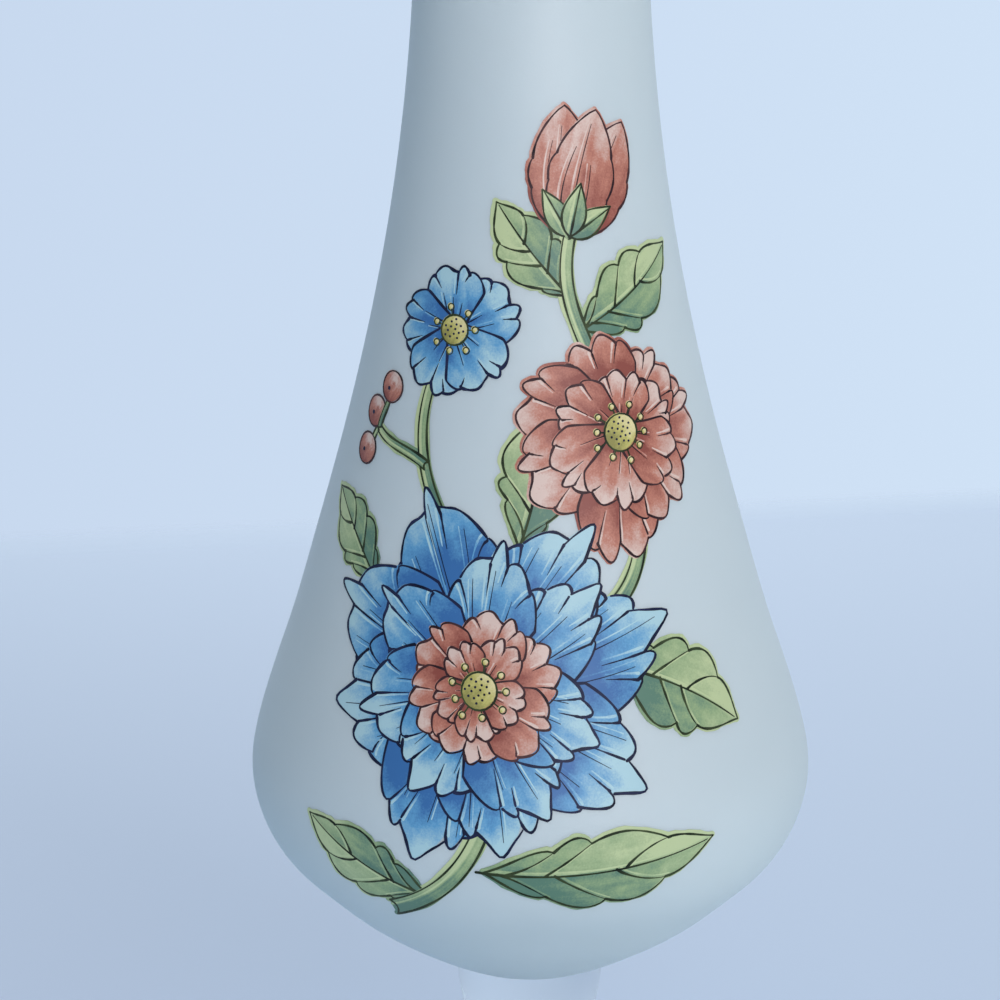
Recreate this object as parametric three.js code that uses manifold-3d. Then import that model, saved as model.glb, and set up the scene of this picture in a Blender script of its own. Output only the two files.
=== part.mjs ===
// A bud vase: a blown vessel of satin opal glass, joined hot to a clear glass stem that stands on a
// clear glass foot. A floral print in fired enamel lies on the vessel's front.
// Millimetres, +Z up. The origin is the centre of the foot's resting plane, and the print faces -Y.
import * as THREE from "three";
import { mergeVertices } from "three/addons/utils/BufferGeometryUtils.js";
import Module from "manifold-3d";

const wasm = await Module();
wasm.setup();

const overallHeight = 207.5;

// Clear foot. A lean is the angle that a surface makes with the upright.
const footRadius = 29;
const footEdge = 3;
const footHeight = 9.5;
const footNeckRadius = 9.2;
const footNeckLean = 0.28;
const footKick = 0.8;
const restingRingWidth = 8;

// Clear stem
const stemLength = 21.5;
const stemWaistRadius = 8.1;
const stemWaistRise = 9;
const stemTopLean = 0.04;

// Opal vessel. A rise is a height over its joint with the stem, and a slope is an angle to the level.
// A handle is how far a stretch of the profile holds its direction.
const jointRadius = 9.75;
const jointSlope = 0.234;
const jointHandle = 0.6;
const underRadius = 28.7;
const underRise = 12.2;
const underSlope = 0.8;
const underInnerHandle = 9.7;
const underOuterHandle = 1.2;
const bellyRadius = 36.3;
const bellyRise = 27.9;
const bellyLowerHandle = 10.1;
const bellyUpperHandle = 4.9;
const coneRadius = 31.2;
const coneRise = 46.2;
const coneLean = 0.302;
const coneLowerHandle = 1.9;
const coneUpperHandle = 34.3;
const waistRadius = 14.45;
const waistRise = 143.4;
const waistLowerHandle = 38.9;
const waistUpperHandle = 16;
const lipRadius = 18.2;
const lipLean = 0.5;
const lipHandle = 8;
const wall = 2.3;
const baseThickness = 5;

// Printed enamel: its middle's height over the belly, its distance from the skin, its thickness, and the
// line left open between two colours
const printRise = 23;
const printGap = 0.12;
const printThickness = 0.1;
const printJoint = 0.32;

// Facets
const roundSteps = 48;
const curveSteps = 4;
const neckSteps = 9;
const edgeSteps = 8;
const discSteps = 12;

const jointHeight = footHeight + stemLength;
const bellyHeight = jointHeight + bellyRise;

const satinOpal = new THREE.MeshStandardMaterial({ color: 0xdfe8e8, roughness: 0.5, metalness: 0 });
const clearGlass = new THREE.MeshStandardMaterial({
  color: 0xe6f0f2,
  roughness: 0.03,
  metalness: 0,
  transparent: true,
  opacity: 0.35,
});
const blueEnamel = new THREE.MeshStandardMaterial({ color: 0x5b93c9, roughness: 0.45, metalness: 0 });
const rustEnamel = new THREE.MeshStandardMaterial({ color: 0xb8705f, roughness: 0.45, metalness: 0 });
const greenEnamel = new THREE.MeshStandardMaterial({ color: 0x8fae7c, roughness: 0.45, metalness: 0 });

const rightUp = new THREE.Vector2(0, 1);
const inward = new THREE.Vector2(-1, 0);

function leaning(lean) {
  return new THREE.Vector2(Math.sin(lean), Math.cos(lean));
}

function sloping(slope) {
  return new THREE.Vector2(Math.cos(slope), Math.sin(slope));
}

// A curve of (radius, height) points, which leaves and reaches its ends along the given directions
function curve(from, leaving, leavingHandle, to, reaching, reachingHandle, steps = curveSteps) {
  return new THREE.CubicBezierCurve(
    from,
    from.clone().addScaledVector(leaving, leavingHandle),
    to.clone().addScaledVector(reaching, -reachingHandle),
    to,
  ).getPoints(steps);
}

function halfTurn(from, centre) {
  const points = [];
  for (let i = 0; i <= curveSteps; i++) {
    points.push(from.clone().rotateAround(centre, (Math.PI * i) / curveSteps));
  }
  return points;
}

// Stretches that start where the last one ended
function pathOf(...stretches) {
  return stretches.flatMap((points, i) => (i ? points.slice(1) : points));
}

// Points moved along their line's normal, which is on its left as it runs
function offset(points, distanceAt) {
  return points.map((point, i) => {
    const before = points[Math.max(0, i - 1)];
    const after = points[Math.min(points.length - 1, i + 1)];
    const along = after.clone().sub(before).normalize();
    return new THREE.Vector2(-along.y, along.x).multiplyScalar(distanceAt(i)).add(point);
  });
}

// A solid of revolution about Z from a closed (radius, height) profile
function turned(profile) {
  return new THREE.LatheGeometry(profile, roundSteps).rotateX(Math.PI / 2);
}

// The vessel's outer skin, from the joint's edge up to the lip
function vesselSkin() {
  const at = (radius, rise) => new THREE.Vector2(radius, jointHeight + rise);
  const joint = at(jointRadius, 0);
  const under = at(underRadius, underRise);
  const belly = at(bellyRadius, bellyRise);
  const cone = at(coneRadius, coneRise);
  const waist = at(waistRadius, waistRise);
  const lip = new THREE.Vector2(lipRadius, overallHeight - (wall / 2) * (1 + Math.sin(lipLean)));
  return pathOf(
    curve(joint, sloping(jointSlope), jointHandle, under, sloping(underSlope), underInnerHandle),
    curve(under, sloping(underSlope), underOuterHandle, belly, rightUp, bellyLowerHandle),
    curve(belly, rightUp, bellyUpperHandle, cone, leaning(-coneLean), coneLowerHandle),
    curve(cone, leaning(-coneLean), coneUpperHandle, waist, rightUp, waistLowerHandle, neckSteps),
    curve(waist, rightUp, waistUpperHandle, lip, leaning(lipLean), lipHandle),
  );
}

const skin = vesselSkin();

function skinRadius(height) {
  const above = skin.findIndex((point) => point.y > height);
  const low = skin[above - 1];
  const high = skin[above];
  return THREE.MathUtils.mapLinear(height, low.y, high.y, low.x, high.x);
}

// The wall is thickest over the joint, and the lip is rounded from the outer skin to the inner one.
function vessel() {
  const wallAt = (i) => THREE.MathUtils.lerp(baseThickness, wall, Math.min(1, i / curveSteps));
  const inside = offset(skin, wallAt).reverse();
  const lip = halfTurn(skin.at(-1), skin.at(-1).clone().lerp(inside[0], 0.5));
  const floorDip = inside.at(-1).x * Math.tan(jointSlope);
  return turned([
    new THREE.Vector2(0, jointHeight),
    ...pathOf(skin, lip, inside),
    new THREE.Vector2(0, inside.at(-1).y - floorDip),
  ]);
}

function stem() {
  const low = new THREE.Vector2(footNeckRadius, footHeight);
  const waist = new THREE.Vector2(stemWaistRadius, footHeight + stemWaistRise);
  const high = new THREE.Vector2(jointRadius, jointHeight);
  const toWaist = stemWaistRise / 3;
  const toJoint = (stemLength - stemWaistRise) / 3;
  return turned([
    new THREE.Vector2(0, footHeight),
    ...pathOf(
      curve(low, leaning(-footNeckLean), toWaist, waist, rightUp, toWaist),
      curve(waist, rightUp, toJoint, high, leaning(stemTopLean), toJoint),
    ),
    new THREE.Vector2(0, jointHeight),
  ]);
}

// The foot spreads from the stem to a rounded edge. Its underside is hollowed, so it stands on a ring.
function foot() {
  const ringOuter = footRadius - footEdge / 2;
  const ringInner = ringOuter - restingRingWidth;
  const edge = halfTurn(new THREE.Vector2(ringOuter, 0), new THREE.Vector2(ringOuter, footEdge / 2));
  const neck = new THREE.Vector2(footNeckRadius, footHeight);
  const inwardHandle = (footRadius - footNeckRadius) / 2;
  const neckHandle = (footHeight - footEdge) / 2;
  const top = curve(edge.at(-1), inward, inwardHandle, neck, leaning(-footNeckLean), neckHandle);
  return turned([
    new THREE.Vector2(0, footKick),
    new THREE.Vector2(ringInner - footKick, footKick),
    new THREE.Vector2(ringInner, 0),
    ...pathOf(edge, top),
    new THREE.Vector2(0, footHeight),
  ]);
}

// Print shapes, as outlines that run anticlockwise. A print point is (x, z) from the print's middle: x runs
// round the skin and z is a height.

// A point beside a spine that leaves its base at an angle and bends on its way
function spinePoint({ x, z, angle, length, bend = 0 }, share, across) {
  const along = share * length;
  const drift = bend * length * share ** 2;
  const turn = angle + Math.atan(2 * bend * share);
  return new THREE.Vector2(
    x + along * Math.cos(angle) - drift * Math.sin(angle) - across * Math.sin(turn),
    z + along * Math.sin(angle) + drift * Math.cos(angle) + across * Math.cos(turn),
  );
}

// Evenly spaced values from one end to the other
function spread(from, to, steps) {
  return Array.from({ length: steps + 1 }, (_, i) => THREE.MathUtils.lerp(from, to, i / steps));
}

// A leaf or a pointed petal, widest at a share of its length
function blade(shape) {
  const { width, widest = 0.5, fullness = 1 } = shape;
  const power = Math.log(0.5) / Math.log(widest);
  const half = (share) => (width / 2) * Math.sin(Math.PI * share ** power) ** fullness;
  const shares = spread(0, 1, edgeSteps).slice(1, -1);
  const edge = (side) => shares.map((share) => spinePoint(shape, share, side * half(share)));
  return [spinePoint(shape, 0, 0), ...edge(-1), spinePoint(shape, 1, 0), ...edge(1).reverse()];
}

// A broad petal with a narrow base, and a round end with a notch in it, or a point where that is negative
function fan(shape) {
  const { width, base = 0.3, rounding = 0.42, notch = 0.07, notchWidth = 0.25 } = shape;
  const point = (share, side) => {
    const half = (width / 2) * (base + (1 - base) * Math.sin((Math.PI / 2) * share));
    const end = 1 - rounding * (1 - Math.sqrt(1 - side ** 2)) - notch * Math.exp(-((side / notchWidth) ** 2));
    return spinePoint(shape, share * (1 + (end - 1) * share), side * half);
  };
  return [
    ...spread(0, 1, curveSteps).map((share) => point(share, -1)),
    ...spread(-1, 1, edgeSteps).slice(1, -1).map((side) => point(1, side)),
    ...spread(1, 0, curveSteps).map((share) => point(share, 1)),
  ];
}

function disc({ x, z, radius }) {
  return spread(0, 2 * Math.PI, discSteps)
    .slice(1)
    .map((turn) => new THREE.Vector2(x + radius * Math.cos(turn), z + radius * Math.sin(turn)));
}

// A stalk along a cubic curve, whose width runs evenly from its root to its tip
function stalk({ root, rootPull, tipPull, tip, rootWidth, tipWidth }) {
  const ends = [root, rootPull, tipPull, tip].map(([x, z]) => new THREE.Vector2(x, z));
  const line = new THREE.CubicBezierCurve(...ends);
  const edge = (side) =>
    spread(0, 1, edgeSteps).map((share) => {
      const along = line.getTangent(share);
      const half = THREE.MathUtils.lerp(rootWidth, tipWidth, share) / 2;
      return line.getPoint(share).addScaledVector(new THREE.Vector2(-along.y, along.x), side * half);
    });
  return [...edge(-1), ...edge(1).reverse()];
}

// How petals that were drawn by hand differ from one to the next: by how much, how fast and from where
const turnSway = { amount: 0.05, pace: 4.1, start: 0 };
const lengthSway = { amount: 0.07, pace: 2.7, start: 1 };
const widthSway = { amount: 0.06, pace: 5.1, start: 0 };
const bendSway = { amount: 0.09, pace: 3.7, start: 2 };

function sway({ amount, pace, start }, i) {
  return amount * Math.sin(pace * i + start);
}

// Broad petals round a centre. Those on the side towards which they lean are longer.
function whorl(shape) {
  const { count, firstAngle, towards = 0, lean = 0 } = shape;
  return Array.from({ length: count }, (_, i) => {
    const angle = firstAngle + (2 * Math.PI * i) / count + sway(turnSway, i);
    const longer = (1 + sway(lengthSway, i)) * (1 + lean * Math.cos(angle - towards));
    const wider = 1 + sway(widthSway, i);
    return fan({
      ...shape,
      angle,
      length: shape.length * longer,
      width: shape.width * wider,
      bend: sway(bendSway, i),
    });
  });
}

// An outline moved outwards, with its sharpest corners moved by no more than twice that
const leastMitre = 0.5;

function grown(outline, distance) {
  return outline.map((point, i) => {
    const before = point.clone().sub(outline.at(i - 1)).normalize();
    const after = outline[(i + 1) % outline.length].clone().sub(point).normalize();
    const out = new THREE.Vector2(before.y + after.y, -before.x - after.x).normalize();
    const mitre = Math.max(leastMitre, out.x * before.y - out.y * before.x);
    return point.clone().addScaledVector(out, distance / mitre);
  });
}

function solidFrom(geometry) {
  const bare = new THREE.BufferGeometry();
  bare.setAttribute("position", geometry.getAttribute("position"));
  bare.setIndex(geometry.index);
  const merged = mergeVertices(bare, 1e-4);
  return new wasm.Manifold(
    new wasm.Mesh({
      numProp: 3,
      vertProperties: merged.attributes.position.array,
      triVerts: new Uint32Array(merged.index.array),
    }),
  );
}

function geometryFrom(solid) {
  const mesh = solid.getMesh();
  const geometry = new THREE.BufferGeometry();
  geometry.setAttribute("position", new THREE.BufferAttribute(new Float32Array(mesh.vertProperties), 3));
  geometry.setIndex(new THREE.BufferAttribute(new Uint32Array(mesh.triVerts), 1));
  return geometry;
}

// A print shape as a wedge through the skin: each of its points becomes a level spoke, which starts and
// ends at these shares of the skin's radius.
const wedgeStart = 0.4;
const wedgeEnd = 2.4;

function wedge(outline) {
  const count = outline.length;
  const positions = [];
  for (const share of [wedgeStart, wedgeEnd]) {
    for (const { x, y } of outline) {
      const height = bellyHeight + printRise + y;
      const radius = skinRadius(height);
      const turn = x / radius;
      positions.push(share * radius * Math.sin(turn), -share * radius * Math.cos(turn), height);
    }
  }
  const index = [];
  for (const [a, b, c] of THREE.ShapeUtils.triangulateShape(outline, [])) {
    index.push(count + a, count + b, count + c, a, c, b);
  }
  for (let i = 0; i < count; i++) {
    const next = (i + 1) % count;
    index.push(i, next, count + next, i, count + next, count + i);
  }
  const geometry = new THREE.BufferGeometry();
  geometry.setAttribute("position", new THREE.Float32BufferAttribute(positions, 3));
  geometry.setIndex(index);
  return solidFrom(geometry);
}

function joined(outlines) {
  return outlines.map(wedge).reduce((all, next) => all.add(next));
}

// The thin layer over the skin that holds all the printed enamel
function printLayer() {
  const inner = offset(skin, () => -printGap);
  const outer = offset(skin, () => -printGap - printThickness);
  return solidFrom(turned([...outer, ...inner.reverse(), outer[0]]));
}

// The print's flowers, leaves and stalks, in print points
const blueBloom = { x: -6, z: -7, rounding: 0.5, notch: -0.1, notchWidth: 0.17, towards: 1.2, lean: 0.09 };
const blueOuterPetals = { ...blueBloom, count: 8, firstAngle: 0.25, length: 19.5, width: 15 };
const blueInnerPetals = { ...blueBloom, count: 7, firstAngle: 0.6, length: 14.5, width: 11.5 };
const blueHeart = { x: blueBloom.x, z: blueBloom.z, towards: 1.2, lean: 0.06 };
const blueHeartPetals = { ...blueHeart, count: 6, firstAngle: 0.3, length: 8.8, width: 8.4 };
const blueEye = { ...blueHeart, radius: 2.1 };

const rustBloom = { x: 11, z: 22, towards: -2.2, lean: 0.12 };
const rustPetals = { ...rustBloom, count: 7, firstAngle: 0.1, length: 12.6, width: 10.5 };
const rustEye = { ...rustBloom, radius: 2.2 };

const blossom = { x: -9.5, z: 34 };
const blossomPetals = { ...blossom, count: 5, firstAngle: 0.4, length: 8, width: 8.2 };
const blossomEye = { ...blossom, radius: 1.8 };

const tulip = { x: 4.5, z: 45, angle: 1.35 };
const tulipPetal = { ...tulip, length: 15.5, width: 8.4, widest: 0.45, fullness: 0.75 };
const tulipSepal = { ...tulip, length: 6.5, width: 3, widest: 0.4 };
const tulipPetalSpread = 0.36;
const tulipPetalBend = 0.1;
const tulipSepalSpread = 0.75;

// The middle one of three blades, and one on either side of it
function threefold(shape, spreadAngle, bend) {
  return [-1, 0, 1].map((side) =>
    blade({ ...shape, angle: shape.angle + side * spreadAngle, bend: -side * bend }),
  );
}

const berryRadius = 1.9;
const berries = [
  { x: -23.5, z: 19.5, radius: berryRadius },
  { x: -22, z: 24, radius: berryRadius },
  { x: -19, z: 27, radius: berryRadius },
];

const lowerStalk = {
  root: [-17, -34],
  rootPull: [-12, -32],
  tipPull: [-7, -28],
  tip: [-5, -20],
  rootWidth: 2.4,
  tipWidth: 1.7,
};
const middleStalk = {
  root: [6, 0],
  rootPull: [11.5, 2],
  tipPull: [14.5, 7],
  tip: [13, 14],
  rootWidth: 1.8,
  tipWidth: 1.5,
};
const upperStalk = {
  root: [8.5, 28],
  rootPull: [6, 34],
  tipPull: [3, 38],
  tip: [tulip.x, tulip.z],
  rootWidth: 1.7,
  tipWidth: 1.4,
};
const sideStalk = {
  root: [-8, 8],
  rootPull: [-13, 14],
  tipPull: [-16, 22],
  tip: [-11.5, 30],
  rootWidth: 1.5,
  tipWidth: 1.1,
};
const twig = {
  root: [-13, 18],
  rootPull: [-16, 20],
  tipPull: [-19, 20],
  tip: [-21, 22],
  rootWidth: 1.1,
  tipWidth: 0.9,
};

const leaves = {
  low_left: { x: -12, z: -31.5, angle: 2.9, length: 19, width: 7.5, bend: -0.2 },
  low_right: { x: -5.5, z: -27.5, angle: -0.1, length: 28, width: 9, bend: 0.2 },
  right: { x: 9, z: -4, angle: -0.25, length: 20, width: 9.5, bend: -0.16 },
  left: { x: -20, z: 4, angle: 2.2, length: 14, width: 7, bend: 0.1 },
  middle: { x: -1.5, z: 9, angle: 1.2, length: 17, width: 8.5, bend: 0.22 },
  top_right: { x: 5.8, z: 34, angle: 0.5, length: 17, width: 8.5, bend: 0.16 },
  top_left: { x: 4.4, z: 38, angle: 2.35, length: 14, width: 7, bend: -0.12 },
};

// Print areas from the topmost down. Each is cut back from all those over it.
const printAreas = [
  ["blue_bloom_eye", greenEnamel, [disc(blueEye)]],
  ["blue_bloom_heart", rustEnamel, whorl(blueHeartPetals)],
  ["blue_bloom", blueEnamel, [...whorl(blueOuterPetals), ...whorl(blueInnerPetals)]],
  ["rust_bloom_eye", greenEnamel, [disc(rustEye)]],
  ["rust_bloom", rustEnamel, whorl(rustPetals)],
  ["tulip_cup", greenEnamel, threefold(tulipSepal, tulipSepalSpread, 0)],
  ["tulip", rustEnamel, threefold(tulipPetal, tulipPetalSpread, tulipPetalBend)],
  ["blossom_eye", greenEnamel, [disc(blossomEye)]],
  ["blossom", blueEnamel, whorl(blossomPetals)],
  ...berries.map((berry, i) => [`berry_${i + 1}`, rustEnamel, [disc(berry)]]),
  ["lower_stalk", greenEnamel, [stalk(lowerStalk)]],
  ["middle_stalk", greenEnamel, [stalk(middleStalk)]],
  ["upper_stalk", greenEnamel, [stalk(upperStalk)]],
  ["side_stalk", greenEnamel, [stalk(sideStalk), stalk(twig)]],
  ...Object.entries(leaves).map(([place, leaf]) => [`${place}_leaf`, greenEnamel, [blade(leaf)]]),
];

const vase = new THREE.Group();

function add(name, geometry, material) {
  const mesh = new THREE.Mesh(geometry, material);
  mesh.name = name;
  vase.add(mesh);
}

add("opal_vessel", vessel(), satinOpal);
add("clear_stem", stem(), clearGlass);
add("clear_foot", foot(), clearGlass);

const layer = printLayer();
let covered;
for (const [name, enamel, outlines] of printAreas) {
  const whole = layer.intersect(joined(outlines));
  add(`print_${name}`, geometryFrom(covered ? whole.subtract(covered) : whole), enamel);
  const lined = joined(outlines.map((outline) => grown(outline, printJoint)));
  covered = covered ? covered.add(lined) : lined;
}

export default vase;
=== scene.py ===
"""A bud vase: satin opal glass on a clear glass foot, with a floral print in fired enamel on its front."""
import math

import bpy
import numpy as np
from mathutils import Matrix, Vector
from mathutils.geometry import delaunay_2d_cdt


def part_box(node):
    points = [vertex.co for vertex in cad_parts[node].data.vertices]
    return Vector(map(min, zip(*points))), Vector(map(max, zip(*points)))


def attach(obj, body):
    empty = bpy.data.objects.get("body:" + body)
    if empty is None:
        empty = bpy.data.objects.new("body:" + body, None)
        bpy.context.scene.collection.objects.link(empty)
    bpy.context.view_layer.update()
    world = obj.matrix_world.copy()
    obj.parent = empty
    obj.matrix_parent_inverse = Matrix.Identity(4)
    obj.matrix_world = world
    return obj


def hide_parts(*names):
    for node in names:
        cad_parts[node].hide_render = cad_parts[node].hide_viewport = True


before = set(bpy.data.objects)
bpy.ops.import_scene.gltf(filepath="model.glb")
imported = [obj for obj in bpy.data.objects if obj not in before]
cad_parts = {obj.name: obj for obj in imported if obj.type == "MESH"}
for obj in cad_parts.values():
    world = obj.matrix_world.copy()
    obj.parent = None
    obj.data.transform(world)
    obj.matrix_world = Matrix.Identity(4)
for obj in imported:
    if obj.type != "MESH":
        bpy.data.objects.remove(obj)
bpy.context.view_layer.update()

MM = 0.001


# Turned glass. A profile lists radii and heights.

ROUND_STEPS = 256
PROFILE_STEP = 1.2 * MM
HALF_TURN_STEPS = 16
LIP_FACET = 1 * MM
HOLLOW_STEPS = 8
HOLLOW_START = 0.1
EDGE_SLACK = 0.1 * MM
FUSED_DEPTH = 0.4 * MM

# What tells a skin's rings: their faces look sideways, and their corners lie in the plane of x and z
SIDEWAYS = 0.02
PLANE_SLACK = 1e-6
DECIMALS = 6


def rings(node, outward):
    """(radius, height) of the rings on a turned node's outer or inner skin, from the lowest up."""
    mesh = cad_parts[node].data
    found = set()
    for polygon in mesh.polygons:
        if polygon.normal.x * outward < SIDEWAYS:
            continue
        for index in polygon.vertices:
            x, y, z = mesh.vertices[index].co
            if x > 0 and abs(y) < PLANE_SLACK:
                found.add((round(z, DECIMALS), -round(x, DECIMALS)))
    return np.array([(-x, z) for z, x in sorted(found)])


def spline(points):
    """A natural cubic curve through the points, drawn with steps of about PROFILE_STEP."""
    points = np.array(points, float)
    gaps = np.linalg.norm(np.diff(points, axis=0), axis=1)
    knots = np.concatenate([[0], np.cumsum(gaps)])
    system = np.eye(len(points))
    target = np.zeros_like(points)
    for i in range(1, len(points) - 1):
        before, after = gaps[i - 1], gaps[i]
        system[i, i - 1 : i + 2] = before / 6, (before + after) / 3, after / 6
        target[i] = (points[i + 1] - points[i]) / after - (points[i] - points[i - 1]) / before
    bending = np.linalg.solve(system, target)
    along = np.linspace(0, knots[-1], int(knots[-1] / PROFILE_STEP) + 2)
    i = np.clip(np.searchsorted(knots, along, side="right") - 1, 0, len(gaps) - 1)
    gap = gaps[i][:, None]
    b = (along - knots[i])[:, None] / gap
    a = 1 - b
    bent = (a**3 - a) * bending[i] + (b**3 - b) * bending[i + 1]
    return a * points[i] + b * points[i + 1] + gap**2 / 6 * bent


def half_turn(start, centre):
    """Points from start on, anticlockwise half way round the centre."""
    angles = np.linspace(0, np.pi, HALF_TURN_STEPS + 1)
    dx, dz = np.array(start) - centre
    radii = centre[0] + dx * np.cos(angles) - dz * np.sin(angles)
    heights = centre[1] + dx * np.sin(angles) + dz * np.cos(angles)
    return np.stack([radii, heights], axis=1)


def placed(name, mesh):
    piece = bpy.data.objects.new(name, mesh)
    bpy.context.scene.collection.objects.link(piece)
    return piece


def turned(name, profile):
    """A closed mesh of revolution from a profile that starts and ends on the axis, anticlockwise."""
    angles = np.linspace(0, 2 * np.pi, ROUND_STEPS, endpoint=False)
    vertices = [(0, 0, profile[0][1])]
    for radius, height in profile[1:-1]:
        vertices += [(radius * math.cos(a), radius * math.sin(a), height) for a in angles]
    vertices.append((0, 0, profile[-1][1]))
    faces = []
    for k in range(ROUND_STEPS):
        n = (k + 1) % ROUND_STEPS
        faces.append((0, 1 + n, 1 + k))
        for i in range(len(profile) - 3):
            low, high = 1 + i * ROUND_STEPS, 1 + (i + 1) * ROUND_STEPS
            faces.append((low + k, low + n, high + n, high + k))
        last = 1 + (len(profile) - 3) * ROUND_STEPS
        faces.append((last + k, last + n, len(vertices) - 1))
    mesh = bpy.data.meshes.new(name)
    mesh.from_pydata(vertices, [], faces)
    mesh.shade_smooth()
    return placed(name, mesh)


def below_lip(points):
    """The rings of a skin without those of the lip's rounding, which are closer together."""
    count = len(points)
    while np.linalg.norm(points[count - 1] - points[count - 2]) < LIP_FACET:
        count -= 1
    return points[:count]


outer_skin = spline(below_lip(rings("opal_vessel", 1)))
inner_skin = spline(below_lip(rings("opal_vessel", -1)))


def opal_vessel():
    lip = half_turn(outer_skin[-1], (outer_skin[-1] + inner_skin[-1]) / 2)
    base = (0, outer_skin[0][1])
    floor = (0, inner_skin[0][1])
    piece = turned("vessel", [base, *outer_skin, *lip[1:-1], *inner_skin[::-1], floor])
    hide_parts("opal_vessel")
    return piece


def clear_pedestal():
    """The foot and the stem in one, as they are in the fused glass. Its top is sunk into the opal base."""
    foot = rings("clear_foot", 1)
    hollow = rings("clear_foot", -1)
    stem = spline(rings("clear_stem", 1))
    edge_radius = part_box("clear_foot")[1].x - foot[0][0]
    edge = half_turn(foot[0], (foot[0][0], edge_radius))
    top = spline(foot[foot[:, 1] > 2 * edge_radius - EDGE_SLACK])
    ceiling = hollow[-1]
    step = np.linspace(0, 1, HOLLOW_STEPS + 1)[:, None]
    slope = ceiling + (hollow[0] - ceiling) * np.hstack([step, (1 - np.cos(np.pi * step)) / 2])
    joint = stem[-1]
    profile = [
        (0, ceiling[1]),
        *np.linspace((HOLLOW_START * ceiling[0], ceiling[1]), ceiling, HOLLOW_STEPS)[:-1],
        *slope,
        *edge,
        *top[1:],
        *stem[1:],
        joint + (0, FUSED_DEPTH),
        (0, joint[1] + FUSED_DEPTH),
    ]
    piece = turned("pedestal", profile)
    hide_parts("clear_stem", "clear_foot")
    return piece


vessel = opal_vessel()
pedestal = clear_pedestal()


# The print's drawing, in millimetres from its middle: x runs round the skin and z is a height

# A share runs along a shape's spine from 0 at its base to 1 at its tip, and a side from -1 to 1 across it.
# These are the shares at which a point's place beside a spine is looked for.
SPINE_SHARES = np.linspace(-0.1, 1.1, 61)

INK = "ink_lines"
INK_SLIP = np.array([0.13, -0.12])

# Each colour piece of the print: its finish, and the solids in whose place it stands
PRINT = {
    "blue_petals": ("enamel_blue", ["blue_bloom"]),
    "blue_bloom_heart": ("enamel_rust", ["blue_bloom_heart"]),
    "blue_bloom_eye": ("enamel_green", ["blue_bloom_eye"]),
    "rust_petals": ("enamel_rust", ["rust_bloom"]),
    "rust_bloom_eye": ("enamel_green", ["rust_bloom_eye"]),
    "blossom_petals": ("enamel_blue", ["blossom"]),
    "blossom_eye": ("enamel_green", ["blossom_eye"]),
    "tulip_petals": ("enamel_rust", ["tulip"]),
    "tulip_cup": ("enamel_green", ["tulip_cup"]),
    "berries": ("enamel_rust", ["berry_1", "berry_2", "berry_3"]),
    "stalks": ("enamel_green", ["lower_stalk", "middle_stalk", "upper_stalk", "side_stalk"]),
}

# The ink on each finish: how far it leans from blue over brown to green, and how wide its pen is
PENS = {"enamel_blue": (0.0, 1.0), "enamel_rust": (0.5, 0.82), "enamel_green": (1.0, 0.84)}

# Ink lines and pale strokes: their width, and the parts of it that they have at their two ends
OUTLINE = (0.33, 1.15, 0.7)
MIDRIB = (0.32, 1.2, 0.5)
STALK_RIGHT = (0.34, 1.1, 0.9)
STALK_LEFT = (0.28, 0.9, 0.9)
STALK_END = (0.28, 1, 1)
STAMEN = (0.2, 1, 1)
STAMEN_RIM = (0.18, 1, 1)
RIM = (0.26, 1, 1)
CREASE_SHINE = (0.5, 1, 0.3)
STALK_SHINE = (0.26, 1, 0.6)

# Shaded lines: the ink line, the pale stroke beside it, and how far that lies off, as a share and a side
TULIP_LINE = ((0.24, 1, 0.35), (0.3, 1, 0.4), (0, 0.08))
FOLD = ((0.22, 1.5, 0.3), (0.34, 1, 0.4), (0, 0.06))
PETAL_VEIN = ((0.22, 1.1, 0.3), (0.3, 1, 0.4), (0, 0.07))
LEAF_VEIN = ((0.22, 1.9, 0.4), (0.3, 1, 0.5), (0.022, 0))

# Tones make a place paler, or darker where they are negative. A fringe has a line and a tone.
PALE = 0.4
STAMEN_TONE = 0.3
TULIP_SIDE_TONE = -0.12
LEAF_FRINGE = ((0.82, 1, 1), 0.25)
PETAL_FRINGE = ((0.58, 1, 1), -0.25)

# What blades and broad petals have where they don't say otherwise
BLADE = {"lobes": 3, "depth": 0.1, "widest": 0.5, "fullness": 1}
BROAD = {
    "lobes": 4,
    "depth": 0.09,
    "base": 0.3,
    "rounding": 0.42,
    "notch": 0.07,
    "notch_width": 0.25,
    "veins": 0.5,
}

# Lobes: their steps, how they lean and fill out, how far they swell on a blade and cut into a petal, and the
# turn of a petal's end that they share
LOBE_STEPS = 11
LOBE_LEAN = 1.2
LOBE_FULLNESS = 0.7
LOBE_SWELL = 1.5
LOBE_CUT = 0.8
LOBES_TURN = 1.35

# How far things stray from even, as a hand leaves them
STRAY = {
    "blade_notch": 0.2,
    "petal_notch": 0.13,
    "lobe_depth": 0.35,
    "tulip_lines": 0.12,
    "tulip_line_end": 0.05,
    "fold_end": 0.1,
    "vein_end": 0.09,
    "petal_angle": 0.05,
    "petal_length": 0.07,
    "petal_width": 0.06,
    "petal_bend": 0.09,
    "petal_tone": 0.12,
    "stamen_turn": 0.1,
    "stamen_reach": 0.12,
}

# A line's two waves: how much of its width they take, how fast they run, and how its start shifts them
LINE_WAVES = ((0.17, 11, 5), (0.11, 23, 3))

# A tulip petal's lines: the share where they start, and for each its side and the share where it ends
TULIP_LINES_START = 0.15
TULIP_LINES = ((-0.45, 0.62), (0, 0.84), (0.45, 0.7))
TULIP_LINES_CLOSING = 0.3

# A broad petal's folds and veins
FOLD_END = 0.66
FOLD_CLOSING = 0.28
VEIN_SIDES = (-0.5, 0.05, 0.55)
VEIN_START = 0.12
VEIN_CLOSING = 0.4

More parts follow.
